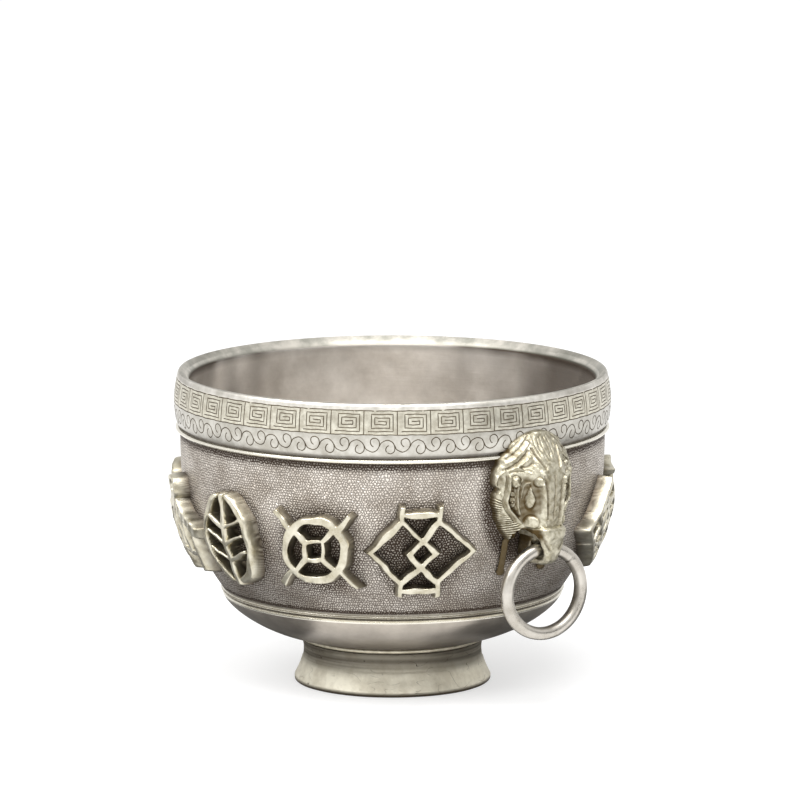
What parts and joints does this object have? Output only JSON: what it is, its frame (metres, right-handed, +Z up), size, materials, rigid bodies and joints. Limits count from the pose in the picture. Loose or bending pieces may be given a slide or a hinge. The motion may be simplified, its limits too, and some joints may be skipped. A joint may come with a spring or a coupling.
{
  "type": "footed bowl",
  "caption": "Footed silver-white metal bowl with an engraved rim band, a matted wall with openwork emblems, and beast masks whose mouths hold loose rings.",
  "frame": {"origin": "centre of the foot's underside", "axes": "+Z up; the two masks lie on the X axis"},
  "size_m": [0.12, 0.108, 0.0752],
  "materials": {
    "matted_wall": "ring-matted wall, smooth below",
    "engraved_band": "satin, engraved",
    "bright_moulding": "polished",
    "foot": "worn polish",
    "emblem": "polished faces, dark sides",
    "mask": "cast and chased",
    "ring": "hammered and polished"
  },
  "bodies": {
    "bowl": {"bowl_shell": "matted_wall", "rim_band": "engraved_band", "rim_bead": "bright_moulding", "lower_fillet": "bright_moulding", "foot_ring": "foot", "foot_collar": "bright_moulding", "mask_right": "mask", "mask_left": "mask", "relief_knot": "emblem", "relief_gourd": "emblem", "relief_pearl": "emblem", "relief_wheel": "emblem", "relief_cloud": "emblem", "relief_lozenges": "emblem", "relief_coin": "emblem", "relief_leaf": "emblem", "relief_chime": "emblem", "relief_ruyi": "emblem"},
    "right_ring": {"ring_right": "ring"},
    "left_ring": {"ring_left": "ring"}
  },
  "joints": [
    {"name": "ring_right_swing", "type": "hinge", "parent": "bowl", "child": "right_ring", "pos_m": [0.05525, 0, 0.0398], "axis": [0, -1, 0], "range_deg": [-32, 110]},
    {"name": "ring_left_swing", "type": "hinge", "parent": "bowl", "child": "left_ring", "pos_m": [-0.05525, 0, 0.0398], "axis": [0, 1, 0], "range_deg": [-32, 110]}
  ]
}
